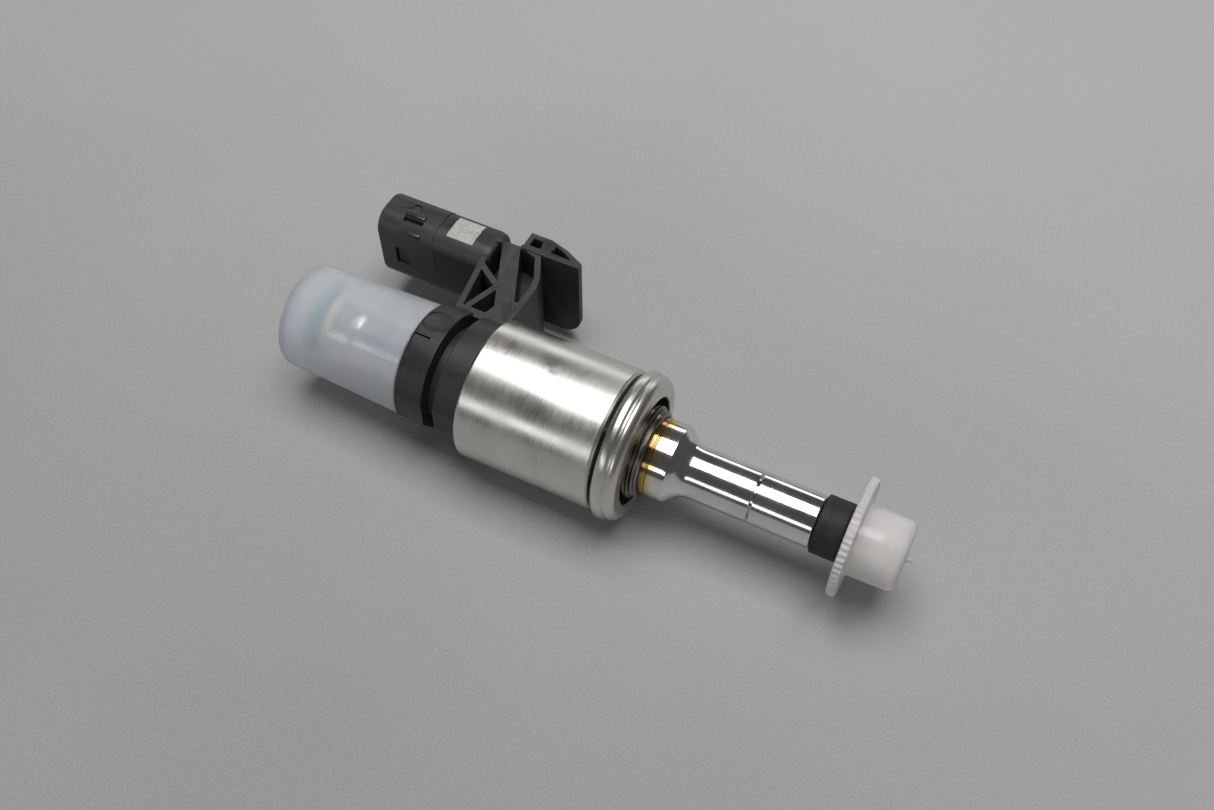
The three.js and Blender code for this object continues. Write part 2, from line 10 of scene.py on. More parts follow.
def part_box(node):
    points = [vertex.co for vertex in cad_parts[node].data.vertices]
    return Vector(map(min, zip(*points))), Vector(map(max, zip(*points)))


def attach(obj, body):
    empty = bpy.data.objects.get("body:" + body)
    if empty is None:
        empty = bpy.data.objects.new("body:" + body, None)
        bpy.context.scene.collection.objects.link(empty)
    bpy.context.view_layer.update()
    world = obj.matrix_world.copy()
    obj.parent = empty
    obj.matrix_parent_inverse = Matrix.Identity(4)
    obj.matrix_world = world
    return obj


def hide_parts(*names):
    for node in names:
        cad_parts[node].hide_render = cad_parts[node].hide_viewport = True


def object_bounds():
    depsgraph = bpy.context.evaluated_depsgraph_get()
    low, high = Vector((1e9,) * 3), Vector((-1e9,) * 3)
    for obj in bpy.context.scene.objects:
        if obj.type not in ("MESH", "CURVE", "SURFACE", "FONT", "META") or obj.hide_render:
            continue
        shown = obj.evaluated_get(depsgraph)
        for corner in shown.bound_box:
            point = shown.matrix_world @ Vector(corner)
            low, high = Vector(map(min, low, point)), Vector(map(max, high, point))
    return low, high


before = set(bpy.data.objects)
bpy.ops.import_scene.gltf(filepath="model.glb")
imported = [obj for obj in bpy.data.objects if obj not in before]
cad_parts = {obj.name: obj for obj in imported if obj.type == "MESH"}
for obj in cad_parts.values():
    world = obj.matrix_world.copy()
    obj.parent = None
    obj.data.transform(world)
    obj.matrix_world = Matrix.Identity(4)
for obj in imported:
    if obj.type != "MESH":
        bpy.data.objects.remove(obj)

CAD_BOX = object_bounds()
MM = 0.001
SIDES = 160

HOUSING_LOW, HOUSING_HIGH = (Vector(corner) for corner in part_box("magnet_housing"))
AXIS_Y = (HOUSING_LOW.y + HOUSING_HIGH.y) / 2
AXIS_Z = (HOUSING_LOW.z + HOUSING_HIGH.z) / 2


# ---- places taken from the frame ---------------------------------------------------------------

def span(node):
    """A turned node's first and last station and its largest radius."""
    low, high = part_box(node)
    return low[0], high[0], (high[2] - low[2]) / 2


# ---- mesh helpers ------------------------------------------------------------------------------

def new_object(name, mesh, look, body, replaces=()):
    piece = bpy.data.objects.new(name, mesh)
    bpy.context.scene.collection.objects.link(piece)
    mesh.materials.append(look)
    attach(piece, body)
    if replaces:
        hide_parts(*replaces)
    return piece


def smooth(mesh, sharp_angle=math.radians(38)):
    for polygon in mesh.polygons:
        polygon.use_smooth = True
    mesh.set_sharp_from_angle(angle=sharp_angle)


def soften(profile, size, steps=3):
    """Rounds the corners of a profile of (station, radius) points. A corner on the axis stays."""
    result = []
    count = len(profile)
    on_axis = profile[0][1] == 0 and profile[-1][1] == 0
    for i, point in enumerate(profile):
        if on_axis and i in (0, count - 1):
            result.append(point)
            continue
        here = Vector(point)
        before = Vector(profile[i - 1]) - here
        after = Vector(profile[(i + 1) % count]) - here
        reach_in = min(size, before.length * 0.42)
        reach_out = min(size, after.length * 0.42)
        start = here + before.normalized() * reach_in
        end = here + after.normalized() * reach_out
        lead_in = min(reach_in * 1.3, before.length * 0.47)
        lead_out = min(reach_out * 1.3, after.length * 0.47)
        result.append(tuple(here + before.normalized() * lead_in))
        for k in range(steps + 1):
            t = k / steps
            result.append(tuple(start.lerp(here, t).lerp(here.lerp(end, t), t)))
        result.append(tuple(here + after.normalized() * lead_out))
    return result


def lathe_mesh(name, profile, sides=SIDES, radius_at=None):
    """Turns a profile about the injector's axis. radius_at(angle, station, radius) can shape the rim."""
    mesh = bpy.data.meshes.new(name)
    shape = bmesh.new()
    rings = []
    for station, radius in profile:
        if radius < 1e-7:
            rings.append([shape.verts.new((station, AXIS_Y, AXIS_Z))])
            continue
        ring = []
        for k in range(sides):
            angle = 2 * math.pi * k / sides
            r = radius_at(angle, station, radius) if radius_at else radius
            place = (station, AXIS_Y + r * math.sin(angle), AXIS_Z + r * math.cos(angle))
            ring.append(shape.verts.new(place))
        rings.append(ring)
    closed = len(rings[0]) > 1
    pairs = list(zip(rings, rings[1:] + rings[:1])) if closed else list(zip(rings, rings[1:]))
    for ring, following in pairs:
        for k in range(sides):
            corners = [ring[k % len(ring)], ring[(k + 1) % len(ring)],
                       following[(k + 1) % len(following)], following[k % len(following)]]
            unique = list(dict.fromkeys(corners))
            if len(unique) > 2:
                shape.faces.new(unique)
    bmesh.ops.recalc_face_normals(shape, faces=shape.faces)
    shape.to_mesh(mesh)
    shape.free()
    smooth(mesh)
    return mesh


def turned(name, profile, look, slot, node, corner=0.12 * MM, body="injector", **options):
    mesh = lathe_mesh(name, soften(profile, corner), **options)
    return new_object(name, mesh, look, body, [node])


def ring_profile(start, end, outer, bore):
    return [(start, outer), (end, outer), (end, bore), (start, bore)]


def skin(name, loops, cap_start=True, cap_end=True):
    """A closed mesh through loops of equal length."""
    mesh = bpy.data.meshes.new(name)
    shape = bmesh.new()
    rows = [[shape.verts.new(point) for point in loop] for loop in loops]
    for row, following in zip(rows, rows[1:]):
        count = len(row)
        for k in range(count):
            shape.faces.new([row[k], row[(k + 1) % count], following[(k + 1) % count], following[k]])
    if cap_start:
        shape.faces.new(list(reversed(rows[0])))
    if cap_end:
        shape.faces.new(rows[-1])
    bmesh.ops.recalc_face_normals(shape, faces=shape.faces)
    shape.to_mesh(mesh)
    shape.free()
    return mesh


def round_rectangle(x, y0, y1, z0, z1, corner, steps=8):
    loop = []
    centres = [(y1 - corner, z1 - corner, 0), (y0 + corner, z1 - corner, 90),
               (y0 + corner, z0 + corner, 180), (y1 - corner, z0 + corner, 270)]
    for cy, cz, start in centres:
        for k in range(steps + 1):
            angle = math.radians(start + 90 * k / steps)
            loop.append((x, cy + corner * math.cos(angle), cz + corner * math.sin(angle)))
    return loop


def prism_mesh(name, outline, bottom, top):
    mesh = bpy.data.meshes.new(name)
    shape = bmesh.new()
    low = [shape.verts.new((x, y, bottom)) for x, y in outline]
    high = [shape.verts.new((x, y, top)) for x, y in outline]
    shape.faces.new(low)
    shape.faces.new(high)
    count = len(outline)
    for k in range(count):
        shape.faces.new([low[k], low[(k + 1) % count], high[(k + 1) % count], high[k]])
    bmesh.ops.recalc_face_normals(shape, faces=shape.faces)
    shape.to_mesh(mesh)
    shape.free()
    return mesh


def combine(name, solids, cutters=(), edge=0.16 * MM):
    """Joins solids, takes the cutters away, rounds the edges that are left, and weights the normals by
    face area so that large flat faces shade evenly."""
    def loose(mesh, label):
        piece = bpy.data.objects.new(label, mesh)
        bpy.context.scene.collection.objects.link(piece)
        return piece

    base = loose(solids[0], name)
    helpers = []
    steps = [(mesh, "UNION") for mesh in solids[1:]] + [(mesh, "DIFFERENCE") for mesh in cutters]
    for i, (mesh, operation) in enumerate(steps):
        helper = loose(mesh, f"{name}_tool_{i}")
        helpers.append(helper)
        boolean = base.modifiers.new(f"step_{i}", "BOOLEAN")
        boolean.operation = operation
        boolean.solver = "EXACT"
        boolean.object = helper
    if edge:
        bevel = base.modifiers.new("edges", "BEVEL")
        bevel.width = edge
        bevel.segments = 2
        bevel.limit_method = "ANGLE"
        bevel.angle_limit = math.radians(35)
        bevel.use_clamp_overlap = True
        bevel.harden_normals = False
    bpy.context.view_layer.update()
    evaluated = base.evaluated_get(bpy.context.evaluated_depsgraph_get())
    mesh = bpy.data.meshes.new_from_object(evaluated)
    mesh.name = name
    for helper in helpers + [base]:
        bpy.data.objects.remove(helper)
    smooth(mesh)
    moulded = loose(mesh, name)
    weights = moulded.modifiers.new("normals", "WEIGHTED_NORMAL")
    weights.keep_sharp = True
    bpy.context.view_layer.update()
    evaluated = moulded.evaluated_get(bpy.context.evaluated_depsgraph_get())
    weighted = bpy.data.meshes.new_from_object(evaluated)
    bpy.data.objects.remove(moulded)
    weighted.name = name
    return weighted


# ---- material helpers --------------------------------------------------------------------------

class Look:
    """A Principled material built up in a few calls. Textures use object coordinates, in metres."""

    def __init__(self, name, color, roughness, metallic=0.0, **constants):
        self.material = bpy.data.materials.new(name)
        self.material.use_nodes = True
        self.tree = self.material.node_tree
        self.shader = self.tree.nodes["Principled BSDF"]
        self.set("Base Color", (*color, 1.0))
        self.set("Roughness", roughness)
        self.set("Metallic", metallic)
        for socket, value in constants.items():
            self.set(socket.replace("_", " "), value)
        self.place = self.add("ShaderNodeTexCoord").outputs["Object"]

    def set(self, socket, value):
        self.shader.inputs[socket].default_value = value

    def add(self, kind, **settings):
        node = self.tree.nodes.new(kind)
        for key, value in settings.items():
            setattr(node, key, value)
        return node

    def link(self, source, target):
        self.tree.links.new(source, target)

    def stretched(self, scale):
        mapping = self.add("ShaderNodeMapping")
        mapping.inputs["Scale"].default_value = scale
        self.link(self.place, mapping.inputs["Vector"])
        return mapping.outputs["Vector"]

    def noise(self, scale, detail=3.0, stretch=(1, 1, 1), roughness=0.5):
        node = self.add("ShaderNodeTexNoise")
        node.inputs["Scale"].default_value = scale
        node.inputs["Detail"].default_value = detail
        node.inputs["Roughness"].default_value = roughness
        self.link(self.stretched(stretch), node.inputs["Vector"])
        return node.outputs["Fac"]

    def ramp(self, fac, stops):
        node = self.add("ShaderNodeValToRGB")
        elements = node.color_ramp.elements
        while len(elements) < len(stops):
            elements.new(0.5)
        for element, (position, color) in zip(elements, stops):
            element.position = position
            element.color = (*color, 1.0)
        self.link(fac, node.inputs["Fac"])
        return node.outputs["Color"]

    def remap(self, fac, low, high, to_low, to_high):
        node = self.add("ShaderNodeMapRange")
        limits = {"From Min": low, "From Max": high, "To Min": to_low, "To Max": to_high}
        for socket, value in limits.items():
            node.inputs[socket].default_value = value
        self.link(fac, node.inputs["Value"])
        return node.outputs["Result"]

    def blend(self, first, share, second):
        """The weighted sum of two values: share of the first, the rest of the second."""
        return self.math("ADD", self.math("MULTIPLY", first, share), self.math("MULTIPLY", second, 1 - share))

    def math(self, operation, first, second):
        node = self.add("ShaderNodeMath", operation=operation)
        for socket, value in zip(node.inputs, (first, second)):
            if isinstance(value, (int, float)):
                socket.default_value = value
            else:
                self.link(value, socket)
        return node.outputs["Value"]

    def mix(self, fac, first, second):
        node = self.add("ShaderNodeMix", data_type="RGBA")
        colors = [socket for socket in node.inputs if socket.type == "RGBA"]
        self.link(fac, node.inputs["Factor"])
        for socket, value in zip(colors, (first, second)):
            if isinstance(value, tuple):
                socket.default_value = (*value, 1.0)
            else:
                self.link(value, socket)
        return next(socket for socket in node.outputs if socket.type == "RGBA")

    def axis(self, letter):
        node = self.add("ShaderNodeSeparateXYZ")
        self.link(self.place, node.inputs["Vector"])
        return node.outputs[letter]

    def bump(self, height, strength, distance):
        node = self.add("ShaderNodeBump")
        node.inputs["Strength"].default_value = strength
        node.inputs["Distance"].default_value = distance
        self.link(height, node.inputs["Height"])
        if self.shader.inputs["Normal"].is_linked:
            self.link(self.shader.inputs["Normal"].links[0].from_socket, node.inputs["Normal"])
        self.link(node.outputs["Normal"], self.shader.inputs["Normal"])

    def color(self, source):
        self.link(source, self.shader.inputs["Base Color"])

    def rough(self, source):
        self.link(source, self.shader.inputs["Roughness"])


ALONG = (1, 0.04, 0.04)          # fine across the axis: turning and brushing marks run around the part


def brushed_steel():
    look = Look("brushed_steel", (0.68, 0.67, 0.65), 0.3, 1.0, Anisotropic=0.35)
    lines = look.noise(9000, 4, ALONG, 0.6)
    patches = look.noise(160, 3)
    look.color(look.ramp(look.blend(lines, 0.55, patches), [
        (0.3, (0.57, 0.555, 0.525)), (0.5, (0.69, 0.675, 0.64)), (0.72, (0.78, 0.765, 0.73))]))
    look.rough(look.remap(look.math("ADD", lines, patches), 0.7, 1.3, 0.24, 0.4))
    look.bump(lines, 0.12, 0.02 * MM)
    return look


def housing_steel():
    """Brushed steel with a small straw-coloured heat spot near the collar."""
    look = brushed_steel()
    look.material.name = "housing_steel"
    low, high, radius = span("magnet_housing")
    spot = Vector((low + 3.5 * MM, AXIS_Y + 1.2 * MM, AXIS_Z + radius))
    distance = look.add("ShaderNodeVectorMath", operation="DISTANCE")
    look.link(look.place, distance.inputs[0])
    distance.inputs[1].default_value = spot
    blur = look.math("ADD", distance.outputs["Value"], look.math("MULTIPLY", look.noise(900, 3), 1.6 * MM))
    tint = look.remap(blur, 1.4 * MM, 2.3 * MM, 0.5, 0.0)
    steel = look.shader.inputs["Base Color"].links[0].from_socket
    look.color(look.mix(tint, steel, (0.33, 0.26, 0.13)))
    return look


def flange_steel():
    """Satin steel with a fine grain, with painted shade: darkened inside the recess round the weld."""
    look = brushed_steel()
    inner = span("mounting_flange")[2] - 3.0 * MM
    across = look.add("ShaderNodeVectorMath", operation="MULTIPLY")
    across.inputs[1].default_value = (0, 1, 1)
    offset = look.add("ShaderNodeVectorMath", operation="DISTANCE")
    look.link(look.place, across.inputs[0])
    look.link(across.outputs["Vector"], offset.inputs[0])
    offset.inputs[1].default_value = (0, AXIS_Y, AXIS_Z)
    # Painted shade: the steel's colour turns near-black inside the recess round the weld, where shade falls.
    painted_recess_shade = look.remap(offset.outputs["Value"], inner - 0.05 * MM, inner + 0.3 * MM, 0.85, 0.0)
    steel = look.shader.inputs["Base Color"].links[0].from_socket
    look.color(look.mix(painted_recess_shade, steel, (0.07, 0.055, 0.04)))
    look.bump(look.noise(3200, 2), 0.3, 0.02 * MM)
    return look


def polished_steel():
    look = Look("polished_steel", (0.74, 0.73, 0.72), 0.12, 1.0, Anisotropic=0.2)
    lines = look.noise(7000, 3, ALONG, 0.6)
    patches = look.noise(240, 3)
    look.rough(look.remap(look.math("ADD", lines, patches), 0.7, 1.4, 0.07, 0.2))
    look.color(look.ramp(patches, [(0.3, (0.66, 0.65, 0.64)), (0.7, (0.78, 0.77, 0.76))]))
    look.bump(lines, 0.06, 0.01 * MM)
    return look


def root_steel():
    """Polished steel that is heat tinted where it leaves the weld rings."""
    look = polished_steel()
    look.material.name = "root_steel"
    weld = span("weld_ring_inner")[1]
    ragged = look.math("MULTIPLY", look.noise(420, 3), 1.6 * MM)
    past = look.math("SUBTRACT", look.axis("X"), look.math("ADD", ragged, weld - 0.8 * MM))
    heat = look.remap(past, 0.0, 2.6 * MM, 0.0, 1.0)
    steel = look.shader.inputs["Base Color"].links[0].from_socket
    tints = look.ramp(heat, [(0.0, (0.2, 0.12, 0.07)), (0.22, (0.5, 0.3, 0.1)), (0.5, (0.72, 0.56, 0.28)),
                             (0.85, (0.78, 0.75, 0.68)), (1.0, (0.78, 0.77, 0.76))])
    look.color(look.mix(look.remap(heat, 0.8, 1.0, 0.0, 1.0), tints, steel))
    return look


def tinted_steel(name, burnt, straw, pale):
    """Steel beside a weld: burnt, straw-coloured and paler patches."""
    look = Look(name, straw, 0.26, 1.0)
    lines = look.noise(5000, 3, ALONG)
    patches = look.noise(300, 4)
    look.color(look.ramp(look.blend(lines, 0.3, patches), [(0.36, burnt), (0.5, straw), (0.64, pale)]))
    look.rough(look.remap(patches, 0.3, 0.7, 0.16, 0.36))
    look.bump(lines, 0.15, 0.02 * MM)
    return look


def dark_steel():
    look = Look("dark_steel", (0.4, 0.4, 0.39), 0.35, 1.0)
    lines = look.noise(6000, 3, ALONG)
    look.color(look.ramp(lines, [(0.3, (0.33, 0.33, 0.32)), (0.7, (0.47, 0.46, 0.45))]))
    look.rough(look.remap(lines, 0.3, 0.7, 0.28, 0.45))
    look.bump(lines, 0.1, 0.02 * MM)
    return look


def black_plastic(roughness=0.46):
    """Glass-filled black moulding: fine grain, faint flow marks, paler along worn edges."""
    look = Look("black_plastic", (0.02, 0.021, 0.023), roughness, 0.0, Specular_IOR_Level=0.45)
    grain = look.noise(11000, 3)
    flow = look.noise(260, 4, (1, 2.5, 1))
    wear = look.add("ShaderNodeNewGeometry").outputs["Pointiness"]
    base = look.ramp(flow, [(0.3, (0.014, 0.0145, 0.016)), (0.7, (0.03, 0.031, 0.034))])
    edge = look.remap(wear, 0.52, 0.6, 0.0, 0.35)
    look.color(look.mix(edge, base, (0.09, 0.09, 0.095)))
    look.rough(look.remap(look.math("ADD", grain, flow), 0.7, 1.3, roughness - 0.08, roughness + 0.1))
    look.bump(flow, 0.12, 0.05 * MM)
    look.bump(grain, 0.35, 0.012 * MM)
    return look


def label_plastic():
    """The black moulding with a pale laser-hatched patch on the shroud's top face."""
    look = black_plastic()
    look.material.name = "label_plastic"
    base = look.shader.inputs["Base Color"].links[0].from_socket
    inside = None
    for letter, (low, high) in LABEL_RANGES.items():
        above = look.math("GREATER_THAN", look.axis(letter), low)
        below = look.math("LESS_THAN", look.axis(letter), high)
        both = look.math("MULTIPLY", above, below)
        inside = both if inside is None else look.math("MULTIPLY", inside, both)
    hatch = look.add("ShaderNodeTexWave", wave_type="BANDS", bands_direction="X")
    hatch.inputs["Scale"].default_value = 900
    hatch.inputs["Distortion"].default_value = 0.6
    look.link(look.place, hatch.inputs["Vector"])
    speckle = look.math("MULTIPLY", look.remap(hatch.outputs["Fac"], 0, 1, 0.75, 1.0),
                        look.remap(look.noise(2600, 2), 0.35, 0.6, 0.7, 1.0))
    look.color(look.mix(look.math("MULTIPLY", inside, speckle), base, (0.62, 0.61, 0.56)))
    return look


def milky_plastic(name, clear, roughness, tints):
    """Translucent polyethylene: part of the light passes blurred, the rest is scattered."""
    look = Look(name, tints[-1], roughness, 0.0, Transmission_Weight=clear, IOR=1.25)
    cloud = look.noise(190, 4)
    bands = look.noise(520, 3, ALONG)
    fine = look.noise(1500, 2)
    look.color(look.ramp(look.blend(cloud, 0.5, bands), list(zip((0.36, 0.5, 0.64), tints))))
    look.rough(look.remap(look.math("ADD", cloud, fine), 0.7, 1.3, roughness - 0.06, roughness + 0.08))
    look.bump(cloud, 0.2, 0.1 * MM)
    return look


def rubber(name, dark, light, roughness):
    look = Look(name, light, roughness, 0.0, Specular_IOR_Level=0.35)
    cloud = look.noise(500, 4)
    grain = look.noise(9000, 2)
    look.color(look.ramp(cloud, [(0.3, dark), (0.7, light)]))
    look.rough(look.remap(grain, 0.3, 0.7, roughness - 0.08, roughness + 0.1))
    look.bump(grain, 0.25, 0.01 * MM)
    return look


def copper_winding():
    look = Look("copper", (0.55, 0.24, 0.1), 0.3, 1.0)
    turns = look.add("ShaderNodeTexWave", wave_type="BANDS", bands_direction="X")
    turns.inputs["Scale"].default_value = 500
    look.link(look.place, turns.inputs["Vector"])
    look.color(look.ramp(turns.outputs["Fac"], [(0.0, (0.24, 0.09, 0.04)), (1.0, (0.62, 0.29, 0.12))]))
    look.bump(turns.outputs["Fac"], 0.6, 0.1 * MM)
    return look


def yellow_metal(name, dark, light):
    look = Look(name, light, 0.3, 1.0)
    cloud = look.noise(900, 4)
    look.color(look.ramp(cloud, [(0.3, dark), (0.7, light)]))
    look.rough(look.remap(cloud, 0.3, 0.7, 0.22, 0.42))
    look.bump(cloud, 0.1, 0.02 * MM)
    return look


# ---- sizes of the details, in metres ------------------------------------------------------------

SEAM = span("mounting_flange")[0] - 0.25 * MM
COLLAR_START = span("inlet_cap")[1] + 0.3 * MM
COLLAR_END = span("magnet_housing")[0] - 0.3 * MM
MOULD_LOW, MOULD_HIGH = (Vector(corner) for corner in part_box("connector_overmould"))
SHROUD_START = MOULD_LOW.x
SHROUD_END = SHROUD_START + 19.5 * MM
SHROUD_BACK = MOULD_HIGH.y
SHROUD_NEAR = SHROUD_BACK - 7.9 * MM
SHROUD_HALF = 6.4 * MM
SHROUD_TOP = AXIS_Z + SHROUD_HALF
TAB_END = MOULD_HIGH.x
TAB_START = TAB_END - 9.6 * MM
TAB_FRONT = SHROUD_BACK - 3.4 * MM
ARM_HALF = 6.2 * MM
CAMERA_PLACE = (0.0476213, -0.0961674, 0.1535915)
CAMERA_ANGLES = (36.46092, -0.00252, 26.5814)     # degrees, about X, Y and Z: the photograph's angle
CAMERA_LENS = 37.12
LABEL_RANGES = {
    "X": (SHROUD_START + 11.6 * MM, SHROUD_START + 16.1 * MM),
    "Y": (SHROUD_NEAR + 1.9 * MM, SHROUD_NEAR + 6.2 * MM),
    "Z": (SHROUD_TOP - 0.5 * MM, SHROUD_TOP + 0.5 * MM),
}


def true_radius(node, sides=36):
    """The radius that a faceted node stands for: its flats face up, down and sideways."""
    return span(node)[2] / math.cos(math.pi / sides)


# ---- turned steel pieces ------------------------------------------------------------------------

def build_housing(looks):
    start, end, _ = span("magnet_housing")
    radius = true_radius("magnet_housing")
    bore = radius - 1.05 * MM
    yoke_bore = true_radius("valve_sleeve", 20) + 0.05 * MM
    profile = [
        (start, radius - 0.32 * MM), (start + 0.32 * MM, radius), (end - 0.4 * MM, radius),
        (end, radius - 0.42 * MM), (end, yoke_bore), (end - 3 * MM, yoke_bore), (end - 3 * MM, bore),
        (start, bore),
    ]
    turned("housing_shell", profile, looks["housing_steel"], "brushed_steel", "magnet_housing", 0.16 * MM)


def build_flange(looks):
    start, end, radius = span("mounting_flange")
    bore = true_radius("valve_body") + 0.05 * MM
    profile = [(start + a * MM, radius - b * MM) for a, b in (
        (0, 0.95), (0.12, 0.6), (0.32, 0.26), (0.6, 0.07), (0.9, 0), (1.25, 0.01), (1.55, 0.1),
        (1.72, 0.24), (1.84, 0.42), (2.0, 0.46), (2.1, 0.34), (2.3, 0.27), (2.55, 0.3), (2.8, 0.42),
        (3.05, 0.6), (3.28, 0.86), (3.44, 1.15), (3.5, 1.42),
    )]
    recess = radius - 3.0 * MM
    floor = SEAM + 1.35 * MM
    profile += [(end, recess + 0.12 * MM), (end - 0.12 * MM, recess), (floor + 0.1 * MM, recess),
                (floor, recess - 0.1 * MM), (floor, bore), (start, bore)]
    turned("flange", profile, looks["flange_steel"], "brushed_steel", "mounting_flange", 0.05 * MM)


def build_weld_rings(looks):
    for name, look in (("weld_ring_outer", "burnt_ring"), ("weld_ring_middle", "dark_ring"),
                       ("weld_ring_inner", "grey_ring")):
        start, end, _ = span(name)
        radius = true_radius(name)
        bore = true_radius("valve_body") + 0.05 * MM
        rim = 0.32 * MM
        profile = [(start, radius - 0.1 * MM), (start + 0.1 * MM, radius), (end - 0.85 * MM, radius),
                   (end - 0.5 * MM, radius - 0.14 * MM), (end - rim, radius - 0.05 * MM),
                   (end - 0.1 * MM, radius - 0.2 * MM), (end, radius - 0.45 * MM), (end, bore), (start, bore)]
        turned(f"{name}_turned", profile, looks[look], "tinted_steel", name, 0.06 * MM)


def build_valve_body(looks):
    start, end, _ = span("valve_body")
    root = true_radius("valve_body")
    stem = 3.76 * MM
    shoulder = SEAM + 8.8 * MM
    profile = [(start, root), (SEAM + 5.75 * MM, root), (SEAM + 5.85 * MM, root - 0.08 * MM),
               (SEAM + 6.0 * MM, root - 0.08 * MM), (SEAM + 6.1 * MM, root),
               (shoulder - 0.45 * MM, root), (shoulder - 0.12 * MM, root - 0.08 * MM),
               (shoulder + 0.1 * MM, root - 0.26 * MM)]
    slope = [(0.55, 4.98), (1.05, 4.5), (1.45, 4.18), (1.8, 3.98), (2.15, 3.85), (2.5, 3.78), (2.8, 3.76)]
    profile += [(shoulder + a * MM, r * MM) for a, r in slope]
    spigot_bore, stem_bore, root_bore = 2.95 * MM, 1.95 * MM, 3.4 * MM
    profile += [(end - 0.12 * MM, stem), (end, stem - 0.1 * MM), (end, spigot_bore),
                (end - 1.85 * MM, spigot_bore), (end - 1.85 * MM, stem_bore),
                (shoulder + 2.8 * MM, stem_bore), (shoulder, root_bore), (start, root_bore)]
    turned("valve_body_turned", profile, looks["root_steel"], "polished_steel", "valve_body", 0.05 * MM)


def build_nozzle(looks):
    start, end, _ = span("nozzle_body")
    stem = true_radius("nozzle_body")
    seal_start, seal_end, _ = span("combustion_seal")
    groove = 3.1 * MM
    weld = SEAM + 20.49 * MM
    spigot, seat_bore, stem_bore = 2.9 * MM, 2.95 * MM, 1.95 * MM
    groove_start, groove_end = seal_start - 0.1 * MM, seal_end + 0.1 * MM
    profile = [
        (start, spigot), (weld, spigot), (weld, stem - 0.12 * MM), (weld + 0.12 * MM, stem),
        (seal_start - 0.35 * MM, stem), (groove_start, stem - 0.12 * MM), (groove_start, groove),
        (groove_end, groove), (groove_end, stem), (end - 0.5 * MM, stem), (end, stem - 0.45 * MM),
        (end, seat_bore), (end - 2.7 * MM, seat_bore), (end - 2.7 * MM, stem_bore), (start, stem_bore),
    ]
    turned("nozzle_body_turned", profile, looks["nozzle_steel"], "polished_steel", "nozzle_body", 0.05 * MM)

    radius = true_radius("combustion_seal")
    profile = [(seal_start, radius - 0.16 * MM), (seal_start + 0.16 * MM, radius),
               (seal_start + 1.2 * MM, radius), (seal_start + 1.3 * MM, radius - 0.05 * MM),
               (seal_start + 1.4 * MM, radius), (seal_end - 0.2 * MM, radius), (seal_end, radius - 0.2 * MM),
               (seal_end, groove + 0.05 * MM), (seal_start, groove + 0.05 * MM)]
    turned("combustion_seal_ring", profile, looks["black_seal"], "black_seal", "combustion_seal", 0.05 * MM)


def build_seat(looks):
    """The valve seat's domed tip, with a dimple at each spray hole."""
    start, end, _ = span("valve_seat")
    radius = true_radius("valve_seat", 20)
    face = end - 0.8 * MM
    reach, dimple_radius, dimple_depth = 1.35 * MM, 0.32 * MM, 0.22 * MM
    holes = [2 * math.pi * k / 6 + 0.3 for k in range(6)]
    dome_radius, dome_height, dome_steps = radius - 0.6 * MM, end - face, 24
    dome = []
    for k in range(dome_steps + 1):
        r = dome_radius * (1 - k / dome_steps)
        dome.append((face + dome_height * (1 - (r / dome_radius) ** 2), r))
    profile = [(face - 0.55 * MM, 0), (face - 0.55 * MM, 0.5 * MM), (face - 2.7 * MM, 1.95 * MM),
               (start, 1.95 * MM), (start, radius), (face - 0.4 * MM, radius),
               (face - 0.1 * MM, radius - 0.2 * MM)]
    mesh = lathe_mesh("valve_seat_tip", profile + dome)
    for vertex in mesh.vertices:
        across = Vector((vertex.co.y - AXIS_Y, vertex.co.z - AXIS_Z))
        if vertex.co.x < face + 0.02 * MM:
            continue
        for angle in holes:
            near = (across - Vector((reach * math.sin(angle), reach * math.cos(angle)))).length
            vertex.co.x -= dimple_depth * max(0.0, 1 - (near / dimple_radius) ** 2)
    new_object("valve_seat_tip", mesh, looks["tip_steel"], "injector", ["valve_seat"])


# ---- inlet tube, seals and caps -----------------------------------------------------------------

def build_inlet(looks):
    start, end, _ = span("inlet_tube")
    lip = 4.4 * MM
    seat = 2.75 * MM
    shoulder = true_radius("inlet_tube")
    tube = true_radius("valve_sleeve", 20)
    shoulder_start = start + 5.2 * MM
    profile = [
        (start, 2.3 * MM), (start, lip - 0.35 * MM), (start + 0.12 * MM, lip - 0.1 * MM),
        (start + 0.35 * MM, lip), (start + 0.9 * MM, lip), (start + 0.9 * MM, seat), (shoulder_start, seat),
        (shoulder_start, shoulder), (shoulder_start + 3.2 * MM, shoulder),
        (shoulder_start + 3.7 * MM, shoulder - 0.34 * MM), (shoulder_start + 4.1 * MM, tube), (end, tube),
        (end, 1.9 * MM), (start + 0.4 * MM, 1.9 * MM),
    ]
    turned("inlet_tube_turned", profile, looks["polished_steel"], "polished_steel", "inlet_tube", 0.08 * MM)

    low, high, _ = span("inlet_o_ring")
    outer = true_radius("inlet_o_ring")
    section = (high - low) / 2
    centre = (low + high) / 2
    profile = [(centre + section * math.cos(t), outer - section + section * math.sin(t))
               for t in (2 * math.pi * k / 40 for k in range(40))]
    mesh = lathe_mesh("o_ring", profile)
    new_object("o_ring", mesh, looks["teal_rubber"], "injector", ["inlet_o_ring"])

    low, high, _ = span("backup_ring")
    turned("backup_ring_turned", ring_profile(low, high, true_radius("backup_ring"), 2.8 * MM),
           looks["cream_plastic"], "cream_plastic", "backup_ring", 0.2 * MM)


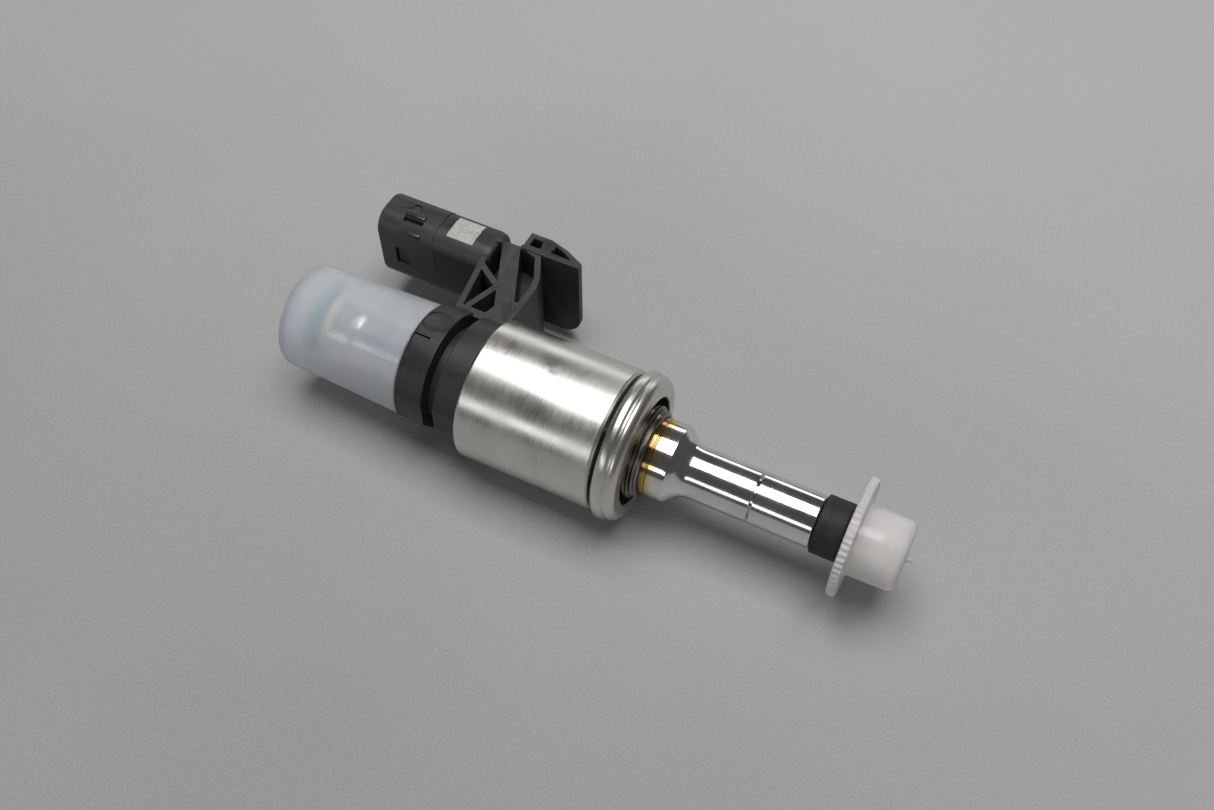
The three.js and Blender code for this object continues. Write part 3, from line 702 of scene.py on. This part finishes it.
def build_inlet_cap(looks):
    start, end, _ = span("inlet_cap")
    mouth = true_radius("inlet_cap")
    closed = mouth - 0.6 * MM
    wall = 0.9 * MM
    edge = 1.1 * MM
    profile = [(start + 0.12 * MM, 0), (start + 0.12 * MM, closed - 2.2 * MM), (start, closed - 1.7 * MM),
               (start, closed - edge)]
    for k in range(1, 9):
        t = math.radians(90 * k / 8)
        profile.append((start + edge * (1 - math.cos(t)), closed - edge + edge * math.sin(t)))
    profile += [(end - 0.5 * MM, mouth), (end - 0.15 * MM, mouth - 0.04 * MM), (end, mouth - 0.22 * MM),
                (end, mouth - wall + 0.15 * MM), (end - 0.25 * MM, mouth - wall)]
    inner = 0.7 * MM
    for k in range(0, 7):
        t = math.radians(90 * k / 6)
        station = start + wall + inner * (1 - math.sin(t))
        profile.append((station, closed - wall - inner + inner * math.cos(t)))
    profile.append((start + wall, 0))
    mesh = lathe_mesh("inlet_cap_shell", profile)
    new_object("inlet_cap_shell", mesh, looks["milky_cap"], "inlet_transport_cap",
               ["inlet_cap"])


def build_nozzle_cap(looks):
    start, end, _ = span("nozzle_cap")
    rim = true_radius("nozzle_cap")
    cup = 5.05 * MM
    bore = true_radius("nozzle_body") + 0.1 * MM
    flange_end = start + 1.3 * MM
    cup_end = start + 7.9 * MM
    teeth = 60

    def serrated(angle, station, radius):
        if radius < rim - 0.3 * MM:
            return radius
        wave = 0.5 + 0.5 * math.cos(teeth * angle)
        return radius - 0.22 * MM * wave * (1 if station < flange_end else 0)

    profile = [(start, bore + 0.25 * MM), (start, rim - 0.5 * MM), (start + 0.12 * MM, rim - 0.12 * MM),
               (start + 0.3 * MM, rim), (start + 0.95 * MM, rim), (flange_end - 0.08 * MM, rim - 0.14 * MM),
               (flange_end, rim - 0.5 * MM), (flange_end, cup + 0.3 * MM),
               (flange_end + 0.1 * MM, cup + 0.1 * MM), (flange_end + 0.35 * MM, cup)]
    edge = 0.95 * MM
    taper = 0.12 * MM
    profile.append((cup_end - edge, cup - taper))
    for k in range(1, 9):
        t = math.radians(90 * k / 8)
        profile.append((cup_end - edge + edge * math.sin(t), cup - taper - edge + edge * math.cos(t)))
    nib = 0.42 * MM
    profile += [(cup_end, 0.75 * MM), (cup_end + 0.12 * MM, nib), (end - 0.2 * MM, nib * 0.8),
                (end, nib * 0.45), (end, 0)]
    inner = [(cup_end - 1.05 * MM, 0), (cup_end - 1.05 * MM, bore - 0.5 * MM),
             (cup_end - 1.2 * MM, bore - 0.12 * MM), (cup_end - 1.5 * MM, bore), (start + 0.25 * MM, bore)]
    mesh = lathe_mesh("nozzle_cap_shell", inner + profile, sides=480, radius_at=serrated)
    new_object("nozzle_cap_shell", mesh, looks["milky_nozzle"], "nozzle_transport_cap",
               ["nozzle_cap"])


# ---- black moulding -----------------------------------------------------------------------------

def box_mesh(name, low, high):
    outline = [(low[0], low[1]), (high[0], low[1]), (high[0], high[1]), (low[0], high[1])]
    return prism_mesh(name, outline, low[2], high[2])


def disc_mesh(name, centre, radius, bottom, top, sides=64):
    outline = [(centre[0] + radius * math.cos(2 * math.pi * k / sides),
                centre[1] + radius * math.sin(2 * math.pi * k / sides)) for k in range(sides)]
    return prism_mesh(name, outline, bottom, top)


def build_collar(looks):
    radius = 9.2 * MM
    bore = true_radius("valve_sleeve", 20) + 0.05 * MM
    groove_start = COLLAR_START + 4.6 * MM
    groove_end = groove_start + 1.9 * MM
    groove = radius - 2.2 * MM
    outline = [
        (COLLAR_START, radius - 0.4 * MM), (COLLAR_START + 0.4 * MM, radius), (groove_start, radius),
        (groove_start + 0.1 * MM, groove), (groove_end - 0.1 * MM, groove), (groove_end, radius),
        (COLLAR_END, radius), (COLLAR_END, bore), (COLLAR_START, bore),
    ]
    band = lathe_mesh("collar", soften(outline, 0.18 * MM))
    gate = (COLLAR_START + 2.1 * MM, AXIS_Y + 1.1 * MM)
    top = AXIS_Z + radius + 1 * MM
    pocket = disc_mesh("gate_pocket", gate, 2.05 * MM, AXIS_Z + radius - 0.62 * MM, top)
    line = box_mesh("gate_line", (COLLAR_START + 0.3 * MM, AXIS_Y - 2.1 * MM, AXIS_Z + radius - 0.6 * MM),
                    (COLLAR_START + 2.9 * MM, AXIS_Y - 1.75 * MM, top))
    flats = []
    for angle, distance in ((88, 8.88), (123.5, 8.4)):
        for turn in (angle, -angle):
            slab = box_mesh(f"flat_{turn}", (COLLAR_START - MM, -14 * MM, distance * MM),
                            (COLLAR_END + MM, 14 * MM, (distance + 3) * MM))
            about_axis = Matrix.Rotation(math.radians(turn), 4, "X")
            slab.transform(Matrix.Translation((0, AXIS_Y, AXIS_Z)) @ about_axis)
            flats.append(slab)
    mesh = combine("collar", [band], [pocket, line] + flats, edge=0.1 * MM)
    new_object("collar", mesh, looks["black_plastic"], "injector", ["connector_overmould"])

    foot_start = COLLAR_START + 3.3 * MM
    foot = box_mesh("collar_foot", (foot_start, AXIS_Y - 3.8 * MM, 0.0),
                    (foot_start + 3.8 * MM, AXIS_Y + 3.8 * MM, AXIS_Z - radius + 1.5 * MM))
    mesh = combine("collar_foot", [foot], edge=0.3 * MM)
    new_object("collar_foot", mesh, looks["black_plastic"], "injector")


def plan(point):
    """A point past the collar's end and out from the housing's surface, in millimetres."""
    along, out = point
    return COLLAR_END + along * MM, AXIS_Y + true_radius("magnet_housing") + out * MM


def rib_mesh(name, line, thickness=0.9 * MM, half=ARM_HALF):
    """A rib that follows a line of points in plan, with mitred corners."""
    points = [Vector(point) for point in line]
    normals = [(b - a).orthogonal().normalized() for a, b in zip(points, points[1:])]
    offsets = []
    for i in range(len(points)):
        before, after = normals[max(i - 1, 0)], normals[min(i, len(normals) - 1)]
        mitre = before + after
        offsets.append(mitre * (thickness / 2 / mitre.dot(before)))
    right = [tuple(p - o) for p, o in zip(points, offsets)]
    left = [tuple(p + o) for p, o in zip(points, offsets)]
    return prism_mesh(name, right + left[::-1], AXIS_Z - half, AXIS_Z + half)


def build_arm(looks):
    root_y = -4.15
    root, fork, apex, crossing, low_root = (
        plan(p) for p in ((-8.1, root_y), (-9.5, 5.35), (-9.7, 6.6), (-5.2, 2.45), (-7.4, -3.4)))
    sill = [plan(p) for p in ((-8, root_y), (-3.2, root_y), (-3.2, -2.75), (-8, -2.75))]
    strip = [plan(p) for p in ((-4.6, root_y), (-3.65, -1.1), (-8.9, 10.85), (-5.9, 10.85), (-1.4, 0.75),
                               (-0.9, 1.15), (-0.1, -1.25), (-0.1, root_y))]
    outer = [plan(p) for p in ((-0.55, root_y + 1), (-0.3, 4.45), (-0.65, 6.25), (-2.6, 10.2))]
    ribs = [
        (root, apex), (fork, crossing), (low_root, crossing),
        (strip[2], (SHROUD_END - MM, TAB_FRONT)), (strip[3], (TAB_START + MM, TAB_FRONT + 0.4 * MM)),
        (*outer, (TAB_START + MM, TAB_FRONT + 0.3 * MM)),
    ]
    solids = [prism_mesh("web", [root, strip[7], *outer[1:], strip[3], strip[2], apex],
                         AXIS_Z - 1.1 * MM, AXIS_Z + 1.1 * MM)]
    for name, outline in (("strip", strip), ("sill", sill)):
        solids.append(prism_mesh(name, outline, AXIS_Z - ARM_HALF, AXIS_Z + ARM_HALF))
    solids += [rib_mesh(f"rib_{i}", line) for i, line in enumerate(ribs)]
    new_object("connector_arm", combine("connector_arm", solids, edge=0.13 * MM), looks["black_plastic"],
               "injector")


def build_tab(looks):
    half = SHROUD_HALF
    back = SHROUD_BACK
    taper = TAB_END - 6.1 * MM
    inner = TAB_FRONT + MM
    rim = [(TAB_START, TAB_FRONT), (TAB_END, TAB_FRONT), (TAB_END, inner),
           ((TAB_END + taper) / 2, back - 0.9 * MM), (taper, back), (TAB_START, back)]
    low, high = AXIS_Z - half - 2.4 * MM, AXIS_Z + half
    wall = 0.8 * MM
    pockets = [
        [(TAB_START + wall, inner), (taper - 0.9 * MM, inner), (taper - 0.9 * MM, back - wall),
         (TAB_START + wall, back - wall)],
        [(taper + 0.9 * MM, inner), (TAB_END - 1.9 * MM, inner), (taper + 2.6 * MM, back - 1.4 * MM),
         (taper + 0.9 * MM, back - wall)],
    ]
    cutters = [prism_mesh(f"pocket_{i}", p, AXIS_Z + 2.2 * MM, high + MM) for i, p in enumerate(pockets)]
    corner = 3.3 * MM
    corner_loop = [(TAB_END + MM, low - MM), (TAB_END - corner, low - MM)]
    for k in range(13):
        t = math.radians(-90 + 90 * k / 12)
        corner_loop.append((TAB_END - corner + corner * math.cos(t), low + corner + corner * math.sin(t)))
    corner_loop.append((TAB_END + MM, low + corner))
    loops = [[(x, y, z) for x, z in corner_loop] for y in (TAB_FRONT - MM, back + MM)]
    cutters.append(skin("low_corner", loops))
    boss = disc_mesh("tab_boss", (taper, (inner + back) / 2), 1.05 * MM, AXIS_Z, high)
    mesh = combine("connector_tab", [prism_mesh("rim", rim, low, high)], cutters, edge=0)
    mesh = combine("connector_tab", [mesh, boss], edge=0.12 * MM)
    new_object("connector_tab", mesh, looks["black_plastic"], "injector")


def build_shroud(looks):
    """The connector's shroud is one skin: socket floor, inner wall, rounded lip, outer wall, end."""
    y0, y1 = SHROUD_NEAR, SHROUD_BACK
    z0, z1 = AXIS_Z - SHROUD_HALF, AXIS_Z + SHROUD_HALF
    wall = 1.15 * MM
    corner = 3 * MM

    def section(station, inset, drop=0.0):
        return round_rectangle(station, y0 + inset, y1 - inset, z0 + inset, z1 - inset - drop, corner - inset)

    start, end = SHROUD_START, SHROUD_END
    step = start + 9.85 * MM
    top_step = 0.14 * MM
    loops = [section(start + 9 * MM, wall + 0.15 * MM), section(start + 8.8 * MM, wall),
             section(start + 0.4 * MM, wall), section(start + 0.15 * MM, wall - 0.12 * MM),
             section(start, wall - 0.35 * MM), section(start, 0.4 * MM),
             section(start + 0.12 * MM, 0.14 * MM), section(start + 0.4 * MM, 0),
             section(step, 0), section(step + 0.03 * MM, 0, top_step),
             section(end - 1.3 * MM, 0, top_step), section(end - 0.45 * MM, 0.18 * MM, top_step),
             section(end - 0.12 * MM, 0.43 * MM, top_step), section(end, 0.78 * MM, top_step)]
    body = skin("shroud", loops)
    for i, (station, inset, height) in enumerate(((3.8, 3.1, 0.42), (4.1, 0.7, -0.95))):
        x, y = start + station * MM, y0 + inset * MM
        top = z1 + height * MM
        rib = box_mesh(f"latch_{i}", (x, y - 0.5 * MM, top - 1.6 * MM), (x + 3.6 * MM, y + 0.5 * MM, top))
        new_object(f"latch_rib_{i + 1}", combine(f"latch_rib_{i + 1}", [rib], edge=0.34 * MM),
                   looks["worn_plastic"], "injector")
    recess = box_mesh("latch_recess", (start + 4 * MM, y0 + 1.7 * MM, z1 - 0.8 * MM),
                      (start + 7.4 * MM, y0 + 2.5 * MM, z1 + MM))
    notch = combine("notch", [disc_mesh("notch_out", (start + 4.9 * MM, y0 + 4.5 * MM), 0.85 * MM,
                                        z1 - 0.35 * MM, z1 + MM)],
                    [disc_mesh("notch_in", (start + 4.9 * MM, y0 + 4.3 * MM), 0.72 * MM,
                               z1 - MM, z1 + 2 * MM)], edge=0)
    slot = box_mesh("key_slot", (start + 3.0 * MM, y0 - MM, AXIS_Z - 2 * MM),
                    (start + 5.2 * MM, y0 + 0.35 * MM, AXIS_Z + 1.4 * MM))
    mesh = combine("connector_shroud", [body], [recess, notch, slot], edge=0.14 * MM)
    new_object("connector_shroud", mesh, looks["label_plastic"], "injector")


def build_blades(looks):
    for number in (1, 2):
        node = f"terminal_blade_{number}"
        low, high = (Vector(corner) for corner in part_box(node))
        tip = 0.9 * MM
        inset = 0.2 * MM

        def section(x, shrink):
            return [(x, low.y + shrink, low.z + shrink), (x, high.y - shrink, low.z + shrink),
                    (x, high.y - shrink, high.z - shrink), (x, low.y + shrink, high.z - shrink)]

        loops = [section(low.x, inset), section(low.x + tip, 0.02 * MM), section(high.x, 0.02 * MM)]
        mesh = combine(f"blade_{number}", [skin(f"blade_{number}", loops)], edge=0.05 * MM)
        new_object(f"blade_{number}", mesh, looks["tinned_brass"], "injector", [node])


# ---- put it together ----------------------------------------------------------------------------

def build_looks():
    made = {
        "flange_steel": flange_steel(),
        "housing_steel": housing_steel(),
        "polished_steel": polished_steel(),
        "nozzle_steel": polished_steel(),
        "tip_steel": polished_steel(),
        "root_steel": root_steel(),
        "burnt_ring": tinted_steel("burnt_ring", (0.14, 0.1, 0.05), (0.52, 0.38, 0.13), (0.78, 0.62, 0.3)),
        "dark_ring": tinted_steel("dark_ring", (0.05, 0.045, 0.04), (0.17, 0.14, 0.1), (0.3, 0.26, 0.2)),
        "grey_ring": tinted_steel("grey_ring", (0.1, 0.09, 0.08), (0.24, 0.22, 0.2), (0.42, 0.4, 0.37)),
        "dark_steel": dark_steel(),
        "black_plastic": black_plastic(),
        "worn_plastic": black_plastic(0.24),
        "label_plastic": label_plastic(),
        "bobbin_plastic": black_plastic(),
        "milky_cap": milky_plastic("milky_cap", 0.74, 0.36, (
            (0.88, 0.92, 0.98), (0.95, 0.97, 1.0), (0.98, 0.99, 1.0))),
        "milky_nozzle": milky_plastic("milky_nozzle", 0.5, 0.36, (
            (0.92, 0.88, 0.95), (0.98, 0.95, 0.91), (0.98, 0.99, 1.0))),
        "teal_rubber": rubber("teal_rubber", (0.02, 0.19, 0.22), (0.06, 0.33, 0.36), 0.42),
        "black_seal": rubber("black_seal", (0.012, 0.012, 0.013), (0.03, 0.03, 0.031), 0.6),
        "cream_plastic": rubber("cream_plastic", (0.62, 0.56, 0.42), (0.78, 0.73, 0.6), 0.4),
        "copper": copper_winding(),
        "filter_mesh": yellow_metal("filter_mesh", (0.24, 0.19, 0.09), (0.5, 0.42, 0.25)),
        "tinned_brass": yellow_metal("tinned_brass", (0.42, 0.38, 0.28), (0.66, 0.62, 0.52)),
        "spring_steel": dark_steel(),
    }
    for name, look in made.items():
        look.material.name = name
    return {name: look.material for name, look in made.items()}


CARRIED = {
    "magnet_cover": "dark_steel", "needle_guide": "dark_steel", "valve_sleeve": "dark_steel",
    "pole_core": "dark_steel", "coil_bobbin": "bobbin_plastic", "coil_winding": "copper",
    "armature": "dark_steel", "needle_collar": "dark_steel", "armature_stop": "dark_steel",
    "valve_needle": "polished_steel", "valve_ball": "polished_steel", "closing_spring": "spring_steel",
    "adjusting_sleeve": "dark_steel", "fuel_filter": "filter_mesh",
}


def dress_carried_nodes(looks):
    for name, look in CARRIED.items():
        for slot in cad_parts[name].material_slots:
            slot.material = looks[look]


def area_light(name, place, aim, width, height, power):
    light = bpy.data.lights.new(name, "AREA")
    light.shape = "RECTANGLE"
    light.size, light.size_y = width, height
    light.energy = power
    lamp = bpy.data.objects.new(name, light)
    lamp.location = place
    lamp.rotation_mode = "QUATERNION"
    lamp.rotation_quaternion = (aim - place).to_track_quat("-Z", "Y")
    bpy.context.scene.collection.objects.link(lamp)


def softbox(name, azimuth, elevation, distance, width, height, radiance):
    """A soft light of even radiance aimed at the injector. Azimuth 0 is towards -Y, 90 towards +X."""
    turn, rise = math.radians(azimuth), math.radians(elevation)
    aim = Vector((0, 0, AXIS_Z))
    towards = Vector((math.sin(turn) * math.cos(rise), -math.cos(turn) * math.cos(rise), math.sin(rise)))
    power = radiance * math.pi * width * height
    area_light(name, aim + towards * distance, aim, width, height, power)


def build_lights():
    softbox("overhead_softbox", azimuth=180, elevation=86, distance=0.75, width=0.62, height=0.5,
            radiance=4.9)
    softbox("front_strip", azimuth=-12, elevation=21, distance=0.8, width=0.9, height=0.16, radiance=1.9)
    softbox("back_strip", azimuth=-170, elevation=15, distance=0.8, width=0.9, height=0.2, radiance=1.6)
    world = bpy.data.worlds.new("studio")
    world.use_nodes = True
    world.node_tree.nodes["Background"].inputs["Color"].default_value = (0.075, 0.075, 0.075, 1)
    world.node_tree.nodes["Background"].inputs["Strength"].default_value = 1.0
    bpy.context.scene.world = world
    bpy.context.scene.view_settings.view_transform = "Standard"


def build_floor():
    look = Look("floor", (0.4, 0.4, 0.4), 0.8, 0.0, Specular_IOR_Level=0.2)
    cloud = look.noise(14, 4)
    grain = look.noise(2600, 2)
    # Painted light: the floor's colour grows paler towards the far side (+Y) and darker towards the camera,
    # standing in for the lamps' fall-off.
    paler = look.remap(look.axis("Y"), -60 * MM, 110 * MM, -0.28, 0.34)
    look.color(look.ramp(look.math("ADD", look.blend(cloud, 0.35, grain), paler),
                         [(0.0, (0.33, 0.33, 0.332)), (1.0, (0.53, 0.53, 0.532))]))
    look.bump(grain, 0.12, 0.05 * MM)
    mesh = bpy.data.meshes.new("floor")
    half = 1.6
    mesh.from_pydata([(-half, -half, 0), (half, -half, 0), (half, half, 0), (-half, half, 0)], [],
                     [(0, 1, 2, 3)])
    mesh.materials.append(look.material)
    floor = bpy.data.objects.new("floor", mesh)
    floor.location.z = CAD_BOX[0].z - 0.02 * MM
    bpy.context.scene.collection.objects.link(floor)


def build_camera():
    data = bpy.data.cameras.new("camera")
    data.lens = CAMERA_LENS
    data.sensor_width = 36
    data.clip_start = 0.005
    data.clip_end = 10
    camera = bpy.data.objects.new("camera", data)
    camera.location = CAMERA_PLACE
    camera.rotation_euler = [math.radians(angle) for angle in CAMERA_ANGLES]
    bpy.context.scene.collection.objects.link(camera)
    bpy.context.scene.camera = camera


LOOKS = build_looks()
for build in (build_housing, build_flange, build_weld_rings, build_valve_body, build_nozzle, build_seat,
              build_inlet, build_inlet_cap, build_nozzle_cap, build_collar, build_arm, build_tab,
              build_shroud, build_blades):
    build(LOOKS)
dress_carried_nodes(LOOKS)
build_lights()
build_floor()
build_camera()
